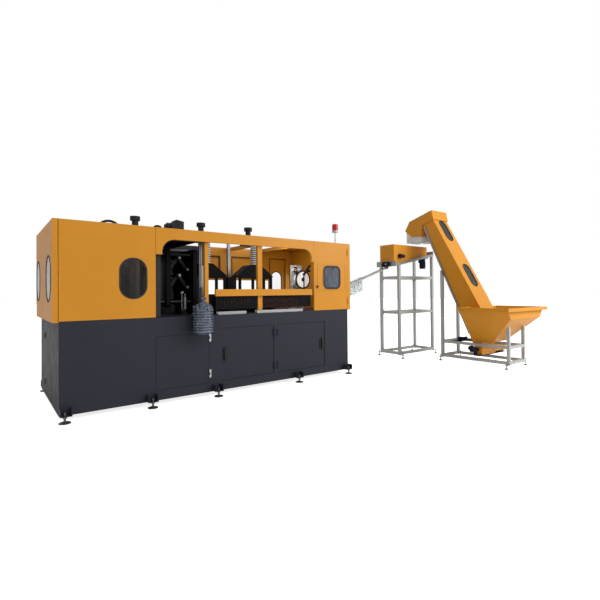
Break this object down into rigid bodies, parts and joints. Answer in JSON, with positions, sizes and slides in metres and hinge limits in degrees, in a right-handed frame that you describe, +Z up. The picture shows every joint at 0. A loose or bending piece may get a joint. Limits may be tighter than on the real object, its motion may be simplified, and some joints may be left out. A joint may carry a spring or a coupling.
{
  "type": "blow moulding machine",
  "caption": "Blow moulding machine with an orange guarded press and oven, a preform chute, a roller unscrambler on a tube stand and an elevator with a tub.",
  "frame": {"origin": "on the floor under the middle of the whole line's bounding box", "axes": "+X from the machine's blowing end to the elevator, +Y from the front with the doors to the back, +Z up"},
  "size_m": [8, 3.7818, 3.146],
  "materials": {
    "orange_paint": "satin",
    "slate_paint": "satin",
    "dark_paint": "satin",
    "grey_paint": "satin",
    "pale_metal": "satin",
    "steel": "satin",
    "bright_steel": "polished",
    "mould_metal": "satin",
    "black_rubber": "matte",
    "dark_glass": "smooth",
    "clear_bottle": "smooth",
    "clear_preform": "smooth",
    "curtain": "smooth",
    "white_hose": "matte",
    "red_lens": "gloss",
    "black_plastic": "satin",
    "red_knob": "matte",
    "blue_grey_motor": "satin",
    "belt_plastic": "matte",
    "copper_tone": "satin"
  },
  "bodies": {
    "line": {"base_frame": "slate_paint", "machine_bed": "slate_paint", "base_panels": "slate_paint", "levelling_feet": "steel", "air_receiver": "grey_paint", "door_hinge_leaves": "bright_steel", "end_covers": "orange_paint", "front_panel_left": "orange_paint", "header_fascia": "orange_paint", "rear_wall": "orange_paint", "roof_panels": "orange_paint", "guard_beam": "orange_paint", "front_rails": "pale_metal", "window_seals": "black_rubber", "window_panes": "dark_glass", "clamp_plates": "dark_paint", "tie_bars": "bright_steel", "mould_half_fixed": "mould_metal", "stretch_unit": "steel", "bottle": "clear_bottle", "bottle_hanger": "pale_metal", "oven_modules": "dark_paint", "exhaust_hoods": "dark_paint", "flex_ducts": "white_hose", "exhaust_fans": "dark_paint", "preform_chain": "copper_tone", "roof_fittings": "dark_paint", "signal_lamp_base": "grey_paint", "signal_lamp_lens": "red_lens", "infeed_frame": "grey_paint", "chute_rails": "pale_metal", "preforms": "clear_preform", "feeder_stands": "grey_paint", "unscrambler_frame": "pale_metal", "unscrambler_hopper": "orange_paint", "feeder_motors": "blue_grey_motor", "elevator_casing": "orange_paint", "elevator_head": "orange_paint", "head_curtain": "curtain", "elevator_side_rails": "pale_metal", "elevator_belt": "belt_plastic", "hopper_tub": "orange_paint"},
    "left_door": {"door_left": "slate_paint"},
    "middle_door": {"door_middle": "slate_paint"},
    "right_door": {"door_right": "slate_paint"},
    "middle_handle": {"handle_middle": "black_plastic"},
    "right_handle": {"handle_right": "black_plastic"},
    "infeed_door": {"guard_door": "orange_paint", "guard_door_pane": "dark_glass"},
    "infeed_door_knob": {"guard_door_knob": "red_knob"},
    "platen": {"moving_platen": "dark_paint", "mould_half_moving": "mould_metal"},
    "upper_outer_links": {"toggle_upper_outer": "steel"},
    "upper_inner_links": {"toggle_upper_inner": "steel"},
    "lower_outer_links": {"toggle_lower_outer": "steel"},
    "lower_inner_links": {"toggle_lower_inner": "steel"},
    "stretch_rod_body": {"stretch_rod": "bright_steel"},
    "front_roller": {"roller_front": "bright_steel"},
    "rear_roller": {"roller_rear": "bright_steel"},
    "kick_wheel_body": {"kick_wheel": "black_rubber"}
  },
  "joints": [
    {"name": "left_door_hinge", "type": "hinge", "parent": "line", "child": "left_door", "pos_m": [-2.135, -0.029, 0.5655], "axis": [0, 0, 1], "range_deg": [0, 110]},
    {"name": "middle_door_hinge", "type": "hinge", "parent": "line", "child": "middle_door", "pos_m": [-1.065, -0.029, 0.56], "axis": [0, 0, 1], "range_deg": [0, 80]},
    {"name": "right_door_hinge", "type": "hinge", "parent": "line", "child": "right_door", "pos_m": [-1.005, -0.029, 0.56], "axis": [0, 0, -1], "range_deg": [0, 80]},
    {"name": "middle_handle_lift", "type": "hinge", "parent": "middle_door", "child": "middle_handle", "pos_m": [-1.89, -0.03, 0.64], "axis": [-1, 0, 0], "range_deg": [0, 35]},
    {"name": "right_handle_lift", "type": "hinge", "parent": "right_door", "child": "right_handle", "pos_m": [-0.095, -0.03, 0.64], "axis": [-1, 0, 0], "range_deg": [0, 35]},
    {"name": "infeed_door_hinge", "type": "hinge", "parent": "line", "child": "infeed_door", "pos_m": [0.499, -0.029, 1.6925], "axis": [0, 0, 1], "range_deg": [0, 110]},
    {"name": "infeed_door_knob_turn", "type": "hinge", "parent": "infeed_door", "child": "infeed_door_knob", "pos_m": [-0.2, -0.021, 1.514], "axis": [0, 1, 0], "range_deg": [0, 90]},
    {"name": "platen_slide", "type": "slide", "parent": "line", "child": "platen", "axis": [-1, 0, 0], "range_m": [0, 0.12]},
    {"name": "upper_outer_pivot", "type": "hinge", "parent": "line", "child": "upper_outer_links", "pos_m": [-2.2311, 0.779, 1.769], "axis": [0, 1, 0], "range_deg": [-24.44, 0]},
    {"name": "upper_knee", "type": "hinge", "parent": "upper_outer_links", "child": "upper_inner_links", "pos_m": [-2.35155, 0.779, 1.94102], "axis": [0, 1, 0], "range_deg": [0, 48.87]},
    {"name": "lower_outer_pivot", "type": "hinge", "parent": "line", "child": "lower_outer_links", "pos_m": [-2.2311, 0.779, 1.511], "axis": [0, 1, 0], "range_deg": [-24.44, 0]},
    {"name": "lower_knee", "type": "hinge", "parent": "lower_outer_links", "child": "lower_inner_links", "pos_m": [-2.35155, 0.779, 1.68302], "axis": [0, 1, 0], "range_deg": [0, 48.87]},
    {"name": "stretch_rod_slide", "type": "slide", "parent": "line", "child": "stretch_rod_body", "axis": [0, 0, -1], "range_m": [0, 0.37]},
    {"name": "front_roller_spin", "type": "hinge", "parent": "line", "child": "front_roller", "pos_m": [2.295, 0.568, 2.02217], "axis": [0.981, 0, 0.1942], "continuous": true},
    {"name": "rear_roller_spin", "type": "hinge", "parent": "line", "child": "rear_roller", "pos_m": [2.295, 0.69, 2.02217], "axis": [0.981, 0, 0.1942], "continuous": true},
    {"name": "kick_wheel_spin", "type": "hinge", "parent": "line", "child": "kick_wheel_body", "pos_m": [2.483, 0.429, 2.182], "axis": [0, 1, 0], "continuous": true}
  ],
  "couplings": [
    {"joint": "upper_outer_pivot", "follows": "platen_slide", "rad_per_m": -3.5251},
    {"joint": "upper_knee", "follows": "platen_slide", "rad_per_m": 7.0503},
    {"joint": "lower_outer_pivot", "follows": "platen_slide", "rad_per_m": -3.5251},
    {"joint": "lower_knee", "follows": "platen_slide", "rad_per_m": 7.0503},
    {"joint": "rear_roller_spin", "follows": "front_roller_spin", "ratio": -1}
  ]
}
